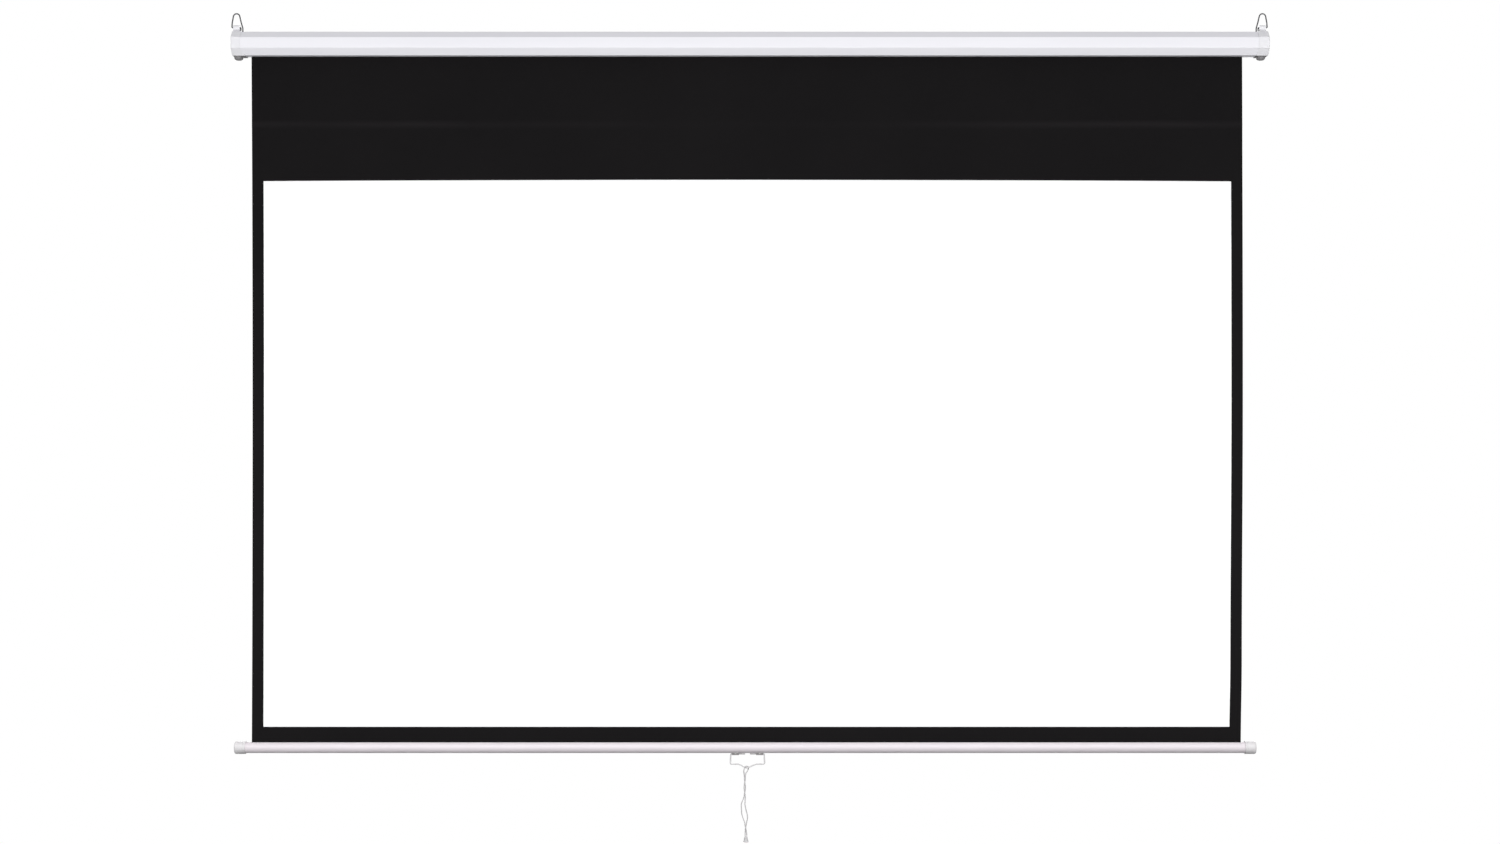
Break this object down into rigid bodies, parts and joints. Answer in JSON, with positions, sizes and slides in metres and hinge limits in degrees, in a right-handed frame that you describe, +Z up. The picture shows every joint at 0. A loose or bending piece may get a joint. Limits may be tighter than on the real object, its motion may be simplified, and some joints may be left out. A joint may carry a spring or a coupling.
{
  "type": "pull-down projector screen",
  "caption": "Spring-roller projection screen with a faceted white case, a white sheet with a black border, a round weight bar, a wire pull handle and a cord.",
  "frame": {"origin": "middle of the line through the insides of the two hangers' tops, where the screen hangs", "axes": "+X along the case to the right seen from the front, +Y to the wall behind the screen, +Z up"},
  "size_m": [2.3686, 0.0626, 1.8961],
  "materials": {
    "white_paint": "smooth white powder coat",
    "white_plastic": "moulded, semi-gloss",
    "zinc_wire": "zinc-plated wire",
    "zinc_plate": "zinc-plated",
    "steel": "bright steel",
    "spring_steel": "oiled spring wire",
    "grey_nylon": "moulded nylon",
    "aluminium": "mill finish",
    "bar_finish": "satin white-silver coat",
    "handle_coat": "white coated wire",
    "bar_plastic": "moulded, light grey",
    "screen_fabric": "matte white PVC sheet with a black border and back",
    "black_fabric": "matte black PVC sheet",
    "cord": "white braided cord"
  },
  "bodies": {
    "case": {"housing_profile": "white_paint", "end_cap_left": "white_plastic", "end_cap_right": "white_plastic", "case_screw_left_front": "zinc_plate", "case_screw_left_back": "zinc_plate", "case_screw_right_front": "zinc_plate", "case_screw_right_back": "zinc_plate", "roller_bracket_left": "zinc_plate", "roller_bracket_right": "zinc_plate", "bracket_screw_left_upper": "zinc_plate", "bracket_screw_left_lower": "zinc_plate", "bracket_screw_right_upper": "zinc_plate", "bracket_screw_right_lower": "zinc_plate", "idle_bush": "grey_nylon", "lock_spindle": "steel", "ratchet_hub": "steel", "spring_mandrel": "grey_nylon", "torsion_spring": "spring_steel", "screen_sheet": "screen_fabric"},
    "roller": {"roller_tube": "aluminium", "idle_plug": "grey_nylon", "idle_pin": "steel", "lock_head": "grey_nylon", "lock_bush": "aluminium", "pawl_pin_upper": "steel", "pawl_pin_lower": "steel", "spring_drive_plug": "grey_nylon", "fabric_wrap": "black_fabric"},
    "weight_bar_body": {"weight_bar": "bar_finish", "bar_cap_left": "bar_plastic", "bar_cap_right": "bar_plastic", "hem_sleeve": "black_fabric", "hem_rod": "bar_plastic", "handle_clip_left": "steel", "handle_clip_right": "steel", "clip_screw_left_front": "zinc_plate", "clip_screw_left_back": "zinc_plate", "clip_screw_right_front": "zinc_plate", "clip_screw_right_back": "zinc_plate"},
    "pawl_upper_body": {"pawl_upper": "zinc_plate"},
    "pawl_lower_body": {"pawl_lower": "zinc_plate"},
    "pull_handle_body": {"pull_handle": "handle_coat"},
    "pull_cord_body": {"pull_cord": "cord", "cord_bell": "white_plastic"},
    "hanger_left": {"hanger_bail_left": "zinc_wire"},
    "hanger_right": {"hanger_bail_right": "zinc_wire"}
  },
  "joints": [
    {"name": "bar_slide", "type": "slide", "parent": "case", "child": "weight_bar_body", "axis": [0, 0, 1], "range_m": [0, 1.556], "deforming": ["screen_sheet"]},
    {"name": "roller_spin", "type": "hinge", "parent": "case", "child": "roller", "pos_m": [0, -0.00692, -0.069], "axis": [1, 0, 0], "range_deg": [0, 5040]},
    {"name": "hanger_left_swing", "type": "hinge", "parent": "case", "child": "hanger_left", "pos_m": [-1.1717, 0, -0.0305], "axis": [1, 0, 0], "range_deg": [-90, 90]},
    {"name": "hanger_right_swing", "type": "hinge", "parent": "case", "child": "hanger_right", "pos_m": [1.1717, 0, -0.0305], "axis": [1, 0, 0], "range_deg": [-90, 90]},
    {"name": "handle_swing", "type": "hinge", "parent": "weight_bar_body", "child": "pull_handle_body", "pos_m": [-0.0046, 0.0089, -1.6911], "axis": [1, 0, 0], "range_deg": [-80, 80]},
    {"name": "cord_hang", "type": "hinge", "parent": "pull_handle_body", "child": "pull_cord_body", "pos_m": [-0.0067, 0.0089, -1.7231], "axis": [1, 0, 0], "range_deg": [-80, 80]},
    {"name": "pawl_upper_swing", "type": "hinge", "parent": "roller", "child": "pawl_upper_body", "pos_m": [1.16, -0.00062, -0.05999], "axis": [1, 0, 0], "range_deg": [0, 10]},
    {"name": "pawl_lower_swing", "type": "hinge", "parent": "roller", "child": "pawl_lower_body", "pos_m": [1.16, -0.01323, -0.07801], "axis": [1, 0, 0], "range_deg": [0, 10]}
  ],
  "couplings": [
    {"joint": "roller_spin", "follows": "bar_slide", "rad_per_m": 56.533},
    {"joint": "cord_hang", "follows": "handle_swing", "ratio": -1}
  ]
}
